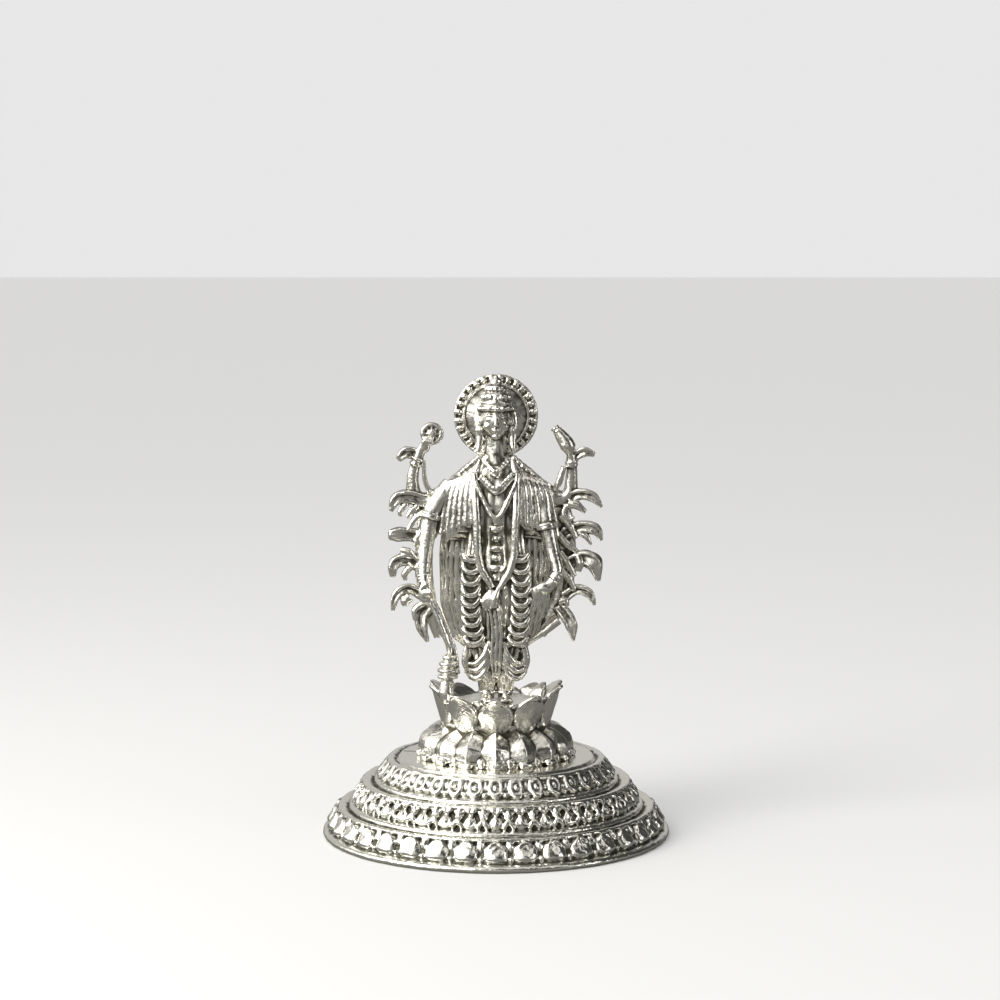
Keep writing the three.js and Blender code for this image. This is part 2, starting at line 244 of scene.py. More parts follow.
PLINTH_PROFILE = [
    (0, 0),
    (PLINTH_RADIUS - 0.5, 0),
    (PLINTH_RADIUS - 0.05, 0.3),
    (PLINTH_RADIUS - 0.02, 0.9),
    (37.45, 1.3),
    (36.9, 1.5),
    (36.2, 1.7),
    (35.1, 3.8),
    (33.8, 5.6),
    (34.2, 5.7),
    (34.5, 6.0),
    (34.3, 6.4),
    (33.7, 6.5),
    (32.8, 6.1),
    (32.1, 5.4),
    (31.9, 5.9),
    (32.1, 6.4),
    (31.8, 6.9),
    (31.2, 7.1),
    (30.6, 7.3),
    (29.5, 9.3),
    (28.3, 11.0),
    (28.9, 11.1),
    (29.3, 11.45),
    (29.1, 11.9),
    (28.4, 12.0),
    (27.5, 11.7),
    (26.8, 11.0),
    (26.5, 11.4),
    (26.6, 12.0),
    (26.3, 12.4),
    (25.8, 12.6),
    (25.4, 12.8),
    (24.2, 14.5),
    (22.9, 15.8),
    (23.4, 15.9),
    (23.7, 16.2),
    (23.5, 16.7),
    (22.9, 16.85),
    (22.4, 16.7),
    (21.9, 16.1),
    (21.5, 16.4),
    (21.1, PLINTH_HEIGHT),
    (0, PLINTH_HEIGHT),
]


def on_band(radius, height, slope):
    """Lays a motif on a band: its x runs round the band, its y up the slope, its z outwards."""
    return Matrix.Translation((0, -radius, height)) @ Matrix.Rotation(math.radians(slope), 4, "X")


def leaf(work, long, wide, thick, point=0.7, hollow=0.5):
    """A pointed leaf along +y, on z = 0, with a raised rim and a rib."""
    blade = lump(work, (0, long * 0.5, 0), (wide * 0.5, long * 0.5, thick), square=0.8)
    for vertex in blade:
        rise = min(max(vertex.co.y / long, 0), 1)
        if vertex.co.z > 0:
            edge = (2 * vertex.co.x / wide) ** 2 + (2 * rise - 1) ** 2
            vertex.co.z -= hollow * thick * max(0, 1 - edge * 1.5)
        vertex.co.x *= 1 - point * rise ** 2
    limb(work, [(0, long * 0.12, thick * 0.2), (0, long * 0.5, thick * 0.6), (0, long * 0.95, thick * 0.4)],
         [thick * 0.3, thick * 0.4, thick * 0.25], sides=8, steps=8, front=Vector((1, 0, 0)))


def ring_motif(work):
    ring_bar(work, (0, 2.15, 0.5), 1.2, 0.52, stretch=(1, 1.45, 1), sides=10, steps=24)
    lump(work, (0, 2.15, 0.1), (1.1, 1.7, 0.5))
    lump(work, (0, 2.15, 0.6), (0.55, 0.75, 0.55), round_steps=12, rows=8)


def spindle_motif(work):
    lump(work, (0, 2.6, 0.05), (0.4, 1.4, 0.75), round_steps=10, rows=8)
    lump(work, (0, 0.7, 0.05), (0.75, 0.55, 0.7), square=0.8, round_steps=10, rows=8)


def rising_leaf_motif(work):
    leaf(work, 3.1, 3.4, 1.35)
    for side in (-1, 1):
        limb(work, [(side * 1.5, 0.2, 0.3), (side * 2.2, 1.2, 0.8), (side * 2.5, 2.2, 0.7),
                    (side * 1.7, 2.6, 0.5)],
             [0.5, 0.55, 0.45, 0.3], sides=10, steps=12, front=Vector((0, 0, 1)))


def hanging_leaf_motif(work):
    turn = Matrix.Translation((0, 4.8, 0)) @ Matrix.Rotation(math.pi, 4, "Z")
    placed(work, turn, lambda w: leaf(w, 2.9, 2.9, 1.25))
    for side in (-1, 1):
        limb(work, [(side * 1.2, 4.4, 0.3), (side * 1.9, 3.9, 0.9), (side * 2.3, 3.3, 0.7)],
             [0.4, 0.5, 0.35], sides=10, steps=8, front=Vector((0, 0, 1)))


def block_motif(work):
    """A squarish petal with a ridge down its face, the widest motif, on the lowest band."""
    block = lump(work, (0, 2.2, 0), (2.5, 2.15, 1.5), square=0.62, round_steps=32, rows=18)
    for vertex in block:
        if vertex.co.z > 0:
            x, y = vertex.co.x / 2.5, (vertex.co.y - 2.2) / 2.15
            vertex.co.z *= (1.0 - 0.38 * abs(x) - 0.22 * max(0, y)
                            - 0.25 * max(0, 1 - 9 * (x * x + (y + 0.1) ** 2)))
        vertex.co.x *= 1 - 0.14 * max(0, (vertex.co.y - 2.2) / 2.15) ** 2
    for side in (-1, 1):
        limb(work, [(side * 1.6, 2.9, 0.9), (side * 0.9, 3.7, 1.0), (0, 4.1, 1.0)], [0.3, 0.4, 0.34],
             sides=8,
             steps=8, front=Vector((0, 0, 1)))


def drop_motif(work):
    turn = Matrix.Translation((0, 4.9, 0)) @ Matrix.Rotation(math.pi, 4, "Z")
    placed(work, turn, lambda w: leaf(w, 2.5, 1.9, 1.0))
    lump(work, (0, 0.8, 0.1), (0.5, 0.6, 0.6), round_steps=10, rows=8)


def plinth_shapes(work):
    turned_shape(work, PLINTH_PROFILE, 256)
    half = math.pi / MOTIFS
    upper = on_band(25.4, 12.8, 50.7)
    middle = on_band(30.6, 7.3, 57.3)
    lower = on_band(36.2, 1.7, 58.2)
    repeated(work, lambda w: placed(w, upper, ring_motif), MOTIFS)
    repeated(work, lambda w: placed(w, upper, spindle_motif), MOTIFS, half)
    repeated(work, lambda w: placed(w, middle, rising_leaf_motif), MOTIFS)
    repeated(work, lambda w: placed(w, middle, hanging_leaf_motif), MOTIFS, half)
    repeated(work, lambda w: placed(w, lower, block_motif), MOTIFS)
    repeated(work, lambda w: placed(w, lower, drop_motif), MOTIFS, half)


# Lotus

SKIRT_PROFILE = [
    (0, PLINTH_HEIGHT),
    (SKIRT_RADIUS - 2.6, PLINTH_HEIGHT),
    (SKIRT_RADIUS - 3.2, PLINTH_HEIGHT + 2.0),
    (SKIRT_RADIUS - 4.4, PLINTH_HEIGHT + 4.4),
    (CUP_BASE_RADIUS + 0.2, PLINTH_HEIGHT + SKIRT_HEIGHT - 0.5),
    (CUP_BASE_RADIUS - 0.6, PLINTH_HEIGHT + SKIRT_HEIGHT + 0.1),
    (CUP_BASE_RADIUS - 0.6, PLINTH_HEIGHT + SKIRT_HEIGHT + 0.6),
    (0, PLINTH_HEIGHT + SKIRT_HEIGHT + 0.6),
]
HEART_PROFILE = [
    (0, PLINTH_HEIGHT + SKIRT_HEIGHT - 1),
    (CUP_BASE_RADIUS - 1.4, PLINTH_HEIGHT + SKIRT_HEIGHT - 1),
    (CUP_BASE_RADIUS - 0.4, PLINTH_HEIGHT + SKIRT_HEIGHT + 2),
    (CUP_BASE_RADIUS - 1.4, FEET_HEIGHT - 1.4),
    (CUP_BASE_RADIUS - 2.2, FEET_HEIGHT - 0.9),
    (CUP_BASE_RADIUS - 2.8, FEET_HEIGHT - 1.0),
    (CUP_BASE_RADIUS - 3.4, FEET_HEIGHT - 0.2),
    (0, FEET_HEIGHT - 0.2),
]


def cup_petal(work, wide=7.9, tall=8.6, out=0.0, rim=True):
    """A broad smooth petal that stands up and leans out, with a raised rim round its top."""
    low = PLINTH_HEIGHT + SKIRT_HEIGHT - 0.4
    blade = lump(work, (0, 0, 0), (1, 1, 1), square=0.85, round_steps=36, rows=28)
    half = 0.5 * wide

    def lay(across, rise, thick):
        """A point of the petal from its place across, up and through the blade, each from -1 to 1."""
        height = 0.5 + 0.5 * rise
        broad = 1 - 0.28 * (1 - height) ** 2 - 0.3 * max(0, height - 0.55) ** 2 / 0.2
        lean = CUP_BASE_RADIUS - 1.0 + out + (CUP_TIP_RADIUS - CUP_BASE_RADIUS + 0.4) * height ** 1.3
        curl = 0.06 * (across * half) ** 2 - 0.7 * max(0, height - 0.86) / 0.14
        return Vector((across * half * broad, -(lean - curl + 0.95 * thick), low + tall * height))

    for vertex in blade:
        vertex.co = lay(vertex.co.x, vertex.co.z, -vertex.co.y)
    if rim:
        path = []
        for k in range(15):
            turn = math.pi * (-0.08 + 1.16 * k / 14)
            path.append(lay(-0.93 * math.cos(turn), 0.05 + 0.9 * math.sin(turn), 0.35))
        limb(work, path, [0.22, 0.36, 0.4, 0.36, 0.22], sides=8, steps=42)


def skirt_petal(work):
    """A turned-down petal: a ridge down its middle with a facet on each side, and a lifted tip."""
    top = PLINTH_HEIGHT + SKIRT_HEIGHT
    path = [(0, -(CUP_BASE_RADIUS - 1.2), top + 0.2), (0, -(CUP_BASE_RADIUS + 0.9), top - 0.8),
            (0, -(SKIRT_RADIUS - 3.4), top - 2.4), (0, -(SKIRT_RADIUS - 2.9), top - 4.6),
            (0, -(SKIRT_RADIUS - 2.4), top - 5.4)]
    rings = limb(work, path, [1.2, 1.6, 1.8, 1.8, 1.5], sides=16, steps=20, front=Vector((1, 0, 0)))
    spots = np.linspace(0, 1, 5)
    for k, ring in enumerate(rings):
        wide = float(np.interp(k / (len(rings) - 1), spots, [2.2, 2.9, 3.3, 3.1, 2.0]))
        middle = sum((v.co for v in ring), Vector()) / len(ring)
        reach = max((v.co - middle).length for v in ring)
        for vertex in ring:
            gap = vertex.co - middle
            across = gap.x / reach
            gap.x = 0
            vertex.co = middle + gap * (1 - 0.75 * abs(across)) + Vector((across * wide, 0, 0))
    tip = (0, -(SKIRT_RADIUS - 1.6), PLINTH_HEIGHT + 0.7)
    lump(work, tip, (1.5, 0.9, 0.75), (20, 0, 0), square=0.8, round_steps=14, rows=10)
    for side in (-1, 1):
        lump(work, (side * 2.9, -(SKIRT_RADIUS - 2.6), PLINTH_HEIGHT + 1.0), (0.7, 0.7, 1.0),
             round_steps=10, rows=8)


def lotus_shapes(work):
    turned_shape(work, SKIRT_PROFILE, 96)
    turned_shape(work, HEART_PROFILE, 96)
    repeated(work, skirt_petal, SKIRT_PETALS)
    for k in range(CUP_PETALS):
        angle = 2 * math.pi * k / CUP_PETALS
        toward_side = abs(math.sin(angle)) ** 2
        behind = max(0.0, -math.cos(angle))
        tall = 8.7 + 2.0 * toward_side - 1.6 * behind
        placed(work, Matrix.Rotation(angle, 4, "Z"), lambda w: cup_petal(w, tall=tall))
        placed(work, Matrix.Rotation(angle + math.pi / CUP_PETALS, 4, "Z"),
               lambda w: cup_petal(w, wide=5.4, tall=tall - 0.9, out=-1.4, rim=False))


# Figure

CLOAK = [
    (39.5, 6.0, 1.6, 2.4),
    (43.0, 10.2, 2.0, 2.2),
    (50.0, 12.2, 2.5, 2.0),
    (60.0, 12.4, 2.9, 1.9),
    (68.0, 12.0, 3.3, 1.8),
    (74.0, 11.8, 3.5, 1.6),
    (77.2, 10.4, 3.5, 1.4),
    (79.8, 7.4, 3.3, 1.2),
    (82.0, 4.6, 2.8, 1.0),
]
ROBE = [
    (36.4, 5.2, 2.6, -1.6),
    (39.0, 6.2, 3.0, -1.6),
    (43.0, 7.2, 3.7, -1.6),
    (51.0, 7.8, 4.2, -1.4),
    (59.0, 7.2, 4.3, -1.2),
    (66.0, 6.2, 4.0, -1.0),
    (72.0, 7.0, 4.5, -1.0),
    (77.0, 6.6, 4.0, -0.8),
    (80.4, 4.0, 3.0, -0.6),
]
CAPE = [
    (66.5, 11.2, 4.0, 0.2),
    (71.0, 11.8, 4.5, 0.1),
    (75.0, 11.4, 4.5, 0.1),
    (78.0, 9.0, 4.1, 0.2),
    (80.6, 5.6, 3.4, 0.2),
    (83.0, 3.0, 2.6, 0.0),
]


def legs(work):
    for side in (-1, 1):
        limb(work, [(side * 2.0, -1.6, 39), (side * 2.0, -1.9, 34), (side * 1.9, -1.9, FEET_HEIGHT + 0.2)],
             [2.5, 2.1, 1.5], steps=16)
        lump(work, (side * 2.2, -3.4, FEET_HEIGHT + 0.6), (1.35, 2.7, 0.95))
        for toe in range(5):
            lump(work, (side * (1.2 + 0.5 * toe), -5.7 + 0.22 * toe, FEET_HEIGHT + 0.45), (0.32, 0.75, 0.36),
                 round_steps=10, rows=8)
        ring_bar(work, (side * 1.9, -1.9, FEET_HEIGHT + 1.9), 1.65, 0.34)


def head(work):
    middle = HEAD_HEIGHT
    skull = lump(work, (0, -1.6, middle - 0.2), (3.05, 3.0, 4.0), round_steps=36, rows=28)
    for vertex in skull:
        down = (middle - vertex.co.z) / 4.2
        if down > 0:
            vertex.co.x *= 1 - 0.26 * down * down
    lump(work, (0, -3.0, middle - 3.4), (1.1, 0.95, 0.75))
    limb(work, [(0, -4.3, middle + 0.9), (0, -4.95, middle - 0.3), (0, -5.25, middle - 1.0)],
         [0.3, 0.42, 0.5],
         sides=12, steps=8)
    lump(work, (0, -4.8, middle - 1.15), (0.75, 0.5, 0.35))
    lump(work, (0, -4.35, middle - 2.0), (0.95, 0.5, 0.25))
    lump(work, (0, -4.3, middle - 2.4), (0.75, 0.5, 0.25))
    for side in (-1, 1):
        limb(work, [(side * 0.45, -4.45, middle + 0.95), (side * 1.4, -4.2, middle + 1.2),
                    (side * 2.3, -3.4, middle + 0.85)],
             [0.16, 0.2, 0.12], sides=8, steps=10)
        lump(work, (side * 1.3, -3.95, middle + 0.25), (0.72, 0.42, 0.34))
        lump(work, (side * 1.75, -3.2, middle - 1.3), (1.0, 1.0, 1.1))
        lump(work, (side * 3.2, -1.2, middle - 0.3), (0.45, 0.7, 1.3))
        lump(work, (side * 3.35, -1.4, middle - 2.3), (0.75, 0.75, 0.95))
        limb(work, [(side * 3.3, -0.3, middle + 2.4), (side * 3.9, -0.4, middle - 0.5),
                    (side * 3.5, -0.8, middle - 4),
                    (side * 3.9, -1.6, middle - 7)], [1.0, 1.0, 1.0, 0.5], sides=10)
    lump(work, (0, -0.2, middle + 0.6), (3.7, 3.1, 4.1), round_steps=30, rows=20)
    limb(work, [(0, -0.2, 78.5), (0, -0.5, 83), (0, -0.7, 88)], [3.4, 2.5, 2.2], sides=24, steps=6)


def crown(work):
    base = HEAD_HEIGHT + 2.0
    profile = [(0, 0), (3.5, 0), (3.85, 0.3), (3.85, 0.8), (3.5, 1.0), (3.4, 1.5), (3.6, 1.8),
               (3.3, 2.1), (3.05, 2.4), (3.0, 3.3), (3.15, 3.5), (2.8, 3.8), (2.3, 4.1), (2.2, 5.0),
               (2.35, 5.2), (2.0, 5.5), (1.4, 5.8), (1.2, 6.4), (1.3, 6.6), (0.9, 6.9), (0.6, 7.2),
               (0.5, 7.55), (0, 7.75)]
    made = turned_shape(work, [(radius, base + height) for radius, height in profile], 40)
    bmesh.ops.transform(work, matrix=Matrix.Translation((0, -1.2, 0)), verts=made)
    for k in range(9):
        angle = math.radians(180 + 22.5 * k)
        for height, radius, size in ((0.55, 3.85, 0.42), (2.9, 3.0, 0.5), (4.6, 2.2, 0.4)):
            lump(work, (radius * math.cos(angle), -1.2 + radius * math.sin(angle), base + height),
                 (size, size, size * 1.2), round_steps=8, rows=6)
    placed(work, Matrix.Translation((0, -4.5, base + 0.4)) @ Matrix.Rotation(math.radians(80), 4, "X"),
           lambda w: leaf(w, 2.8, 2.0, 0.45))


def halo(work):
    upright = Matrix.Translation((0, HALO_DEPTH, HALO_HEIGHT)) @ Matrix.Rotation(math.pi / 2, 4, "X")
    placed(work, upright, halo_disc)


def halo_disc(work):
    """A domed disc with a row of beads in a channel between two rims, flat at the origin."""
    rim = HALO_RADIUS
    turned_shape(work, [(0, -1.1), (rim - 0.7, -1.1), (rim - 0.15, -0.8), (rim, -0.4), (rim - 0.15, 0),
                        (rim - 0.45, 0.05), (rim - 0.65, -0.3), (rim - 1.65, -0.35), (rim - 1.85, 0),
                        (rim - 2.25, 0.15), (rim - 2.55, -0.1), (5.0, 0.35), (3.0, 0.75), (0, 0.95)], 112)
    for k in range(HALO_BEADS):
        angle = 2 * math.pi * (k + 0.5) / HALO_BEADS
        turn = (0, 0, math.degrees(angle))
        reach = rim - 1.15
        lump(work, (reach * math.cos(angle), reach * math.sin(angle), -0.05), (0.58, 0.68, 0.55), turn,
             square=0.8, round_steps=12, rows=8)
        reach = rim - 0.28
        lump(work, (reach * math.cos(angle), reach * math.sin(angle), -0.25), (0.3, 0.5, 0.4), turn,
             round_steps=8, rows=6)


def hand(work, curl=0.0, mirror=1):
    """An open hand, fingers along -z from a palm at the origin."""
    lump(work, (0, 0, 0), (1.35, 0.62, 1.5))
    for k in range(4):
        x = (k - 1.5) * 0.66
        long = (2.4, 2.9, 2.8, 2.2)[k]
        limb(work, [(x * 0.9, 0, -0.8), (x * 1.05, -0.1 - curl * 0.4, -0.8 - long * 0.6),
                    (x * 1.05, -0.15 - curl, -0.8 - long)], [0.36, 0.36, 0.26], sides=10, steps=8)
    limb(work, [(mirror * 0.9, -0.1, 0.5), (mirror * 1.75, -0.4, -0.4), (mirror * 1.85, -0.5, -1.4)],
         [0.42, 0.42, 0.3], sides=10, steps=8)


def bangles(work, path, spots, radius, thick=0.3):
    for place, ahead, _ in (curve_points(path, 40)[int(40 * spot)] for spot in spots):
        side = FRONT.cross(ahead).normalized()
        back = ahead.cross(side).normalized()
        turn = Matrix((side, back, ahead)).transposed().to_4x4()
        ring_bar(work, place, radius, thick, turn=turn, sides=8, steps=24)


LEFT_ARM = [(-9.6, -0.4, 76.2), (-13.4, -1.6, 71), (-14.9, -2.4, 64.5), (-15.5, -3.4, 58),
            (-15.2, -4.2, 54.5)]
RIGHT_ARM = [(9.6, -0.4, 76.2), (10.6, -1.8, 69), (12.0, -2.8, 62.5), (13.2, -4.2, 57.4), (11.4, -5.0, 54.8)]


def lowered_arms(work):
    limb(work, LEFT_ARM, [2.2, 2.0, 1.7, 1.35, 1.15], steps=40, sides=20)
    bangles(work, LEFT_ARM, (0.84, 0.89, 0.94), 1.3)
    bangles(work, LEFT_ARM, (0.3, 0.34), 1.95)
    lump(work, (-15.1, -4.5, 53.4), (1.3, 1.2, 1.5))
    ring_bar(work, (-15.2, -5.2, 53.2), 0.95, 0.5, turn=Matrix.Rotation(math.pi / 2, 4, "X"),
             stretch=(1, 1.7, 1))
    for k in range(4):
        lump(work, (-14.1 - 0.55 * k, -5.9 + 0.18 * k, 53.3 - 0.1 * k), (0.36, 0.5, 1.0), turn=(10, 0, 0),
             round_steps=10, rows=8)
    limb(work, RIGHT_ARM, [2.2, 1.9, 1.6, 1.3, 1.2], steps=40, sides=20)
    bangles(work, RIGHT_ARM, (0.78, 0.83, 0.88), 1.35, 0.34)
    bangles(work, RIGHT_ARM, (0.3, 0.34), 1.9)
    lump(work, (10.4, -5.2, 54.3), (1.9, 1.2, 1.4))
    palm = Matrix.Translation((8.6, -5.6, 53.2)) @ Matrix.Rotation(math.radians(12), 4, "Y")
    placed(work, palm, lambda w: hand(w, mirror=-1))


def mace(work):
    path = [(-14.9, -4.9, 54.6), (-14.4, -4.9, 52), (-12.4, -5.4, 47.6), (-10.0, -5.8, 41), (-9.3, -6.2, 36)]
    limb(work, path, [0.62] * 5, steps=30, sides=12)
    limb(work, [(x + 1.15, y + 0.2, z - 0.2) for x, y, z in path[1:]], [0.5] * 4, steps=24, sides=10)
    lump(work, (-14.9, -4.9, 55.1), (0.9, 0.9, 0.8))
    for k in range(5):
        z = 39.4 - 1.35 * k
        wide = (1.3, 2.0, 2.3, 2.1, 1.4)[k]
        ring_bar(work, (-10.0 - 0.12 * k, -6.4 - 0.08 * k, z), wide - 0.3, 0.45)
        lump(work, (-10.0 - 0.12 * k, -6.4 - 0.08 * k, z), (wide - 0.2, wide - 0.3, 0.9))
    limb(work, [(-10.6, -6.8, 34), (-10.7, -7.0, 31.6), (-10.4, -7.0, 29.6)], [1.3, 1.7, 1.0], steps=10)


UPPER_LEFT_ARM = [(-9.4, 1.0, 75.2), (-14.4, 1.6, 72.6), (-17.5, 1.4, 73.6), (-17.9, 1.0, 78.4),
                  (-16.0, 0.2, 84.0)]
UPPER_RIGHT_ARM = [(9.4, 1.0, 75.2), (13.4, 1.6, 73.0), (15.9, 1.4, 74.2), (16.4, 1.0, 78.8),
                   (16.2, 0.4, 82.6)]


def wheel(work):
    """The disc in the raised hand: a rim, a hub and eight spokes, flat at the origin."""
    turned_shape(work, [(0, -0.75), (0.7, -0.75), (0.9, -0.45), (1.6, -0.45), (1.8, -0.6), (2.3, -0.6),
                        (2.55, 0),
                        (2.3, 0.6), (1.8, 0.6), (1.6, 0.45), (0.9, 0.45), (0.7, 0.75), (0, 0.75)], 40)
    for k in range(8):
        angle = math.pi * k / 4
        limb(work, [(0, 0, 0), (2.1 * math.cos(angle), 2.1 * math.sin(angle), 0)], [0.3, 0.3], flat=2.0,
             sides=8, steps=2, front=Vector((0, 0, 1)))


def raised_arms(work):
    for path in (UPPER_LEFT_ARM, UPPER_RIGHT_ARM):
        limb(work, path, [2.2, 1.9, 1.6, 1.2, 1.0], steps=40, sides=20)
        bangles(work, path, (0.86, 0.91), 1.15)
    lump(work, (-15.4, -0.1, 84.3), (1.25, 1.0, 1.3))
    for k in range(4):
        limb(work, [(-15.8 + 0.55 * k, -0.7, 84.6), (-15.5 + 0.55 * k, -1.1, 85.6),
                    (-15.0 + 0.45 * k, -0.7, 86.4)],
             [0.34, 0.34, 0.26], sides=8, steps=6)
    placed(work, Matrix.Translation((-13.8, -0.2, 87.2)) @ Matrix.Rotation(math.pi / 2, 4, "X"), wheel)
    lump(work, (15.9, 0, 83.6), (1.2, 1.0, 1.3))
    for k in range(4):
        limb(work, [(16.6 - 0.4 * k, -0.7, 83.6), (16.1 - 0.4 * k, -1.5, 84.4),
                    (15.4 - 0.4 * k, -1.5, 85.0)],
             [0.34, 0.34, 0.26], sides=8, steps=6)
    limb(work, [(16.0, -0.2, 83), (15.3, -0.2, 85), (14.0, -0.2, 86.8), (12.7, -0.2, 88.4)],
         [0.9, 1.7, 1.65, 1.45, 1.15, 0.6], steps=24, sides=20)
    for place, ahead, t in curve_points([(15.3, -0.2, 85), (14.0, -0.2, 86.8), (12.7, -0.2, 88.4)], 5)[1:]:
        side = FRONT.cross(ahead).normalized()
        turn = Matrix((side, ahead.cross(side).normalized(), ahead)).transposed().to_4x4()
        ring_bar(work, place, 1.45 - 0.7 * t, 0.28, turn=turn, sides=8, steps=20)


# Scarf: each lappet's [x, z] points from its root over its crest to its tip, and its half-widths

LAPPETS = [
    ([(-17.0, 82.7), (-19.4, 83.0), (-21.2, 81.5)], (1.3, 1.4, 0.7)),
    ([(-15.0, 72.2), (-18.6, 73.4), (-21.4, 73.0), (-22.8, 70.4)], (1.7, 1.6, 1.5, 0.5)),
    ([(-15.4, 64.6), (-18.6, 65.2), (-21.4, 65.3), (-23.2, 65.2)], (1.7, 1.5, 1.7, 1.1)),
    ([(-15.6, 58.0), (-19.4, 59.8), (-22.0, 58.8), (-22.4, 56.0)], (1.7, 1.5, 1.4, 0.6)),
    ([(-15.4, 51.8), (-19.0, 53.4), (-21.6, 52.0), (-22.5, 48.6)], (1.5, 1.2, 1.1, 0.45)),
    ([(-14.6, 49.8), (-16.2, 47.4), (-16.0, 44.6), (-14.8, 41.8)], (1.6, 1.6, 1.3, 0.4)),
    ([(16.4, 81.8), (19.0, 83.2), (21.3, 82.6)], (1.1, 1.2, 0.6)),
    ([(14.4, 72.4), (18.0, 74.0), (21.0, 73.4), (22.9, 71.2)], (1.6, 1.3, 1.2, 0.4)),
    ([(14.6, 65.4), (18.2, 66.9), (21.4, 66.4), (22.9, 64.0)], (1.7, 1.4, 1.4, 0.45)),
    ([(15.2, 58.8), (18.6, 60.2), (21.2, 59.0), (22.2, 55.2)], (1.4, 1.8, 2.1, 0.5)),
    ([(14.6, 51.4), (17.6, 53.2), (20.2, 52.4), (21.4, 49.8)], (1.4, 1.2, 1.1, 0.4)),
    ([(13.4, 49.6), (15.2, 47.6), (16.4, 45.2), (16.8, 42.0)], (1.3, 1.5, 1.4, 0.35)),
]
# Smaller folds and curls in the scarf: [x, z] points and one half-width
SCARF_FOLDS = [
    ([(-13.6, 71.0), (-16.9, 69.2), (-19.2, 66.2)], 0.8),
    ([(-20.6, 62.0), (-18.6, 61.4), (-16.4, 59.2)], 0.75),
    ([(-14.8, 68.0), (-16.6, 65.2), (-17.6, 62.6)], 0.8),
    ([(-15.0, 61.4), (-16.6, 58.4), (-17.0, 55.4)], 0.8),
    ([(-16.8, 71.4), (-18.2, 70.4), (-19.4, 68.8)], 0.7),
    ([(-19.2, 72.0), (-20.6, 70.6), (-20.6, 69.2)], 0.65),
    ([(-18.4, 58.2), (-19.8, 56.8), (-19.6, 55.2)], 0.7),
    ([(-18.6, 51.6), (-19.7, 50.8), (-19.6, 49.6)], 1.0),
    ([(-15.2, 50.4), (-17.4, 49.0), (-17.6, 46.6)], 0.8),
    ([(13.8, 69.4), (15.8, 67.4), (17.4, 64.4)], 0.8),
    ([(13.4, 65.6), (15.4, 63.2), (17.6, 61.6)], 0.8),
    ([(13.8, 61.6), (15.6, 58.8), (17.2, 56.2)], 0.8),
    ([(14.2, 57.4), (16.0, 55.4), (17.0, 53.0)], 0.75),
    ([(15.6, 72.2), (17.6, 71.6), (19.4, 70.2)], 0.9),
    ([(17.2, 71.4), (15.2, 71.4), (14.6, 69.8), (15.8, 68.6), (17.0, 69.2)], 0.6),
    ([(17.8, 65.6), (19.6, 64.8), (20.6, 63.0)], 0.6),
    ([(17.8, 60.8), (18.2, 59.0), (17.8, 57.2)], 0.95),
    ([(13.6, 50.4), (15.0, 51.0), (15.6, 49.6)], 0.7),
]
SCARF_DEPTH = 1.2


def lappet(work, points, widths):
    """A hooked end of the scarf: a full body with a ridge near each edge."""
    path = [Vector((x, SCARF_DEPTH - 0.5 * i, z)) for i, (x, z) in enumerate(points)]
    limb(work, path, widths, flat=0.6, steps=28, sides=20)
    side = -math.copysign(1, points[0][0])
    spots = np.linspace(0, 1, len(widths))
    for share, thick in ((0.6, 0.42), (-0.55, 0.34)):
        edge = []
        for place, ahead, t in curve_points(path, 8):
            wide = float(np.interp(t, spots, widths))
            out = FRONT.cross(ahead).normalized() * side * share * wide
            edge.append(place + out + Vector((0, -0.5 * wide, 0)))
        limb(work, edge[:8], [thick, thick * 1.2, thick, thick * 0.6], sides=8, steps=24)


def scarf(work):
    limb(work, [(-14.2, 2, 74), (-15.4, 2, 66), (-15.6, 2, 57), (-14.6, 2, 50), (-12.4, 2, 42.5)],
         [2.0, 1.9, 1.9, 1.8, 1.2], flat=0.5, steps=30)
    limb(work, [(13.2, 2, 74), (14.6, 2, 66), (14.8, 2, 57), (13.4, 2, 50), (9.6, 2, 43)],
         [2.2, 2.6, 2.5, 2.2, 1.2], flat=0.5, steps=30)
    limb(work, [(6.6, -1.6, 42.0), (10.2, -1.8, 44.2), (13.6, -1.2, 46.8)], [0.8, 0.85, 1.05], steps=16)
    for points, widths in LAPPETS:
        lappet(work, points, widths)
    for points, thick in SCARF_FOLDS:
        path = [Vector((x, 0.2 - 0.2 * i, z)) for i, (x, z) in enumerate(points)]
        limb(work, path, [thick, thick * 1.1, thick * 0.6], steps=14, sides=12)
    limb(work, [(-15.6, 0, 81.4), (-15.4, 0.4, 77.2), (-14.2, 0.8, 74.2)], [0.42, 0.5, 0.6], steps=16)
    limb(work, [(14.6, 0, 80), (13.8, 0.2, 77.2), (12.8, 0.4, 74.8)], [0.6, 0.8, 0.7], steps=16)


def garlands(work):
    """Two thick garlands down the robe: hanging loops between two cords."""
    for side in (-1, 1):
        path = [(side * 5.2, -4.6, 61.4), (side * 5.4, -5.3, 54), (side * 5.2, -5.1, 47.5),
                (side * 4.4, -4.7, 41.4)]
        limb(work, path, [1.7, 2.0, 2.0, 1.6], flat=0.35, steps=30)
        for edge in (-1, 1):
            limb(work, [(x + edge * 1.8, y - 0.2, z) for x, y, z in path], [0.4, 0.45, 0.4], sides=10,
                 steps=30)
        for k in range(GARLAND_RIBS):
            (x, y, z), _, _ = curve_points(path, GARLAND_RIBS)[k]
            wide = 1.9 if k < GARLAND_RIBS - 2 else 2.2
            limb(work, [(x - wide, y - 0.4, z + 0.4), (x - 0.6 * wide, y - 0.9, z - 0.8),
                        (x, y - 1.0, z - 1.2),
                        (x + 0.6 * wide, y - 0.9, z - 0.8), (x + wide, y - 0.4, z + 0.4)],
                 [0.5, 0.6, 0.66, 0.6, 0.5], sides=12, steps=16)


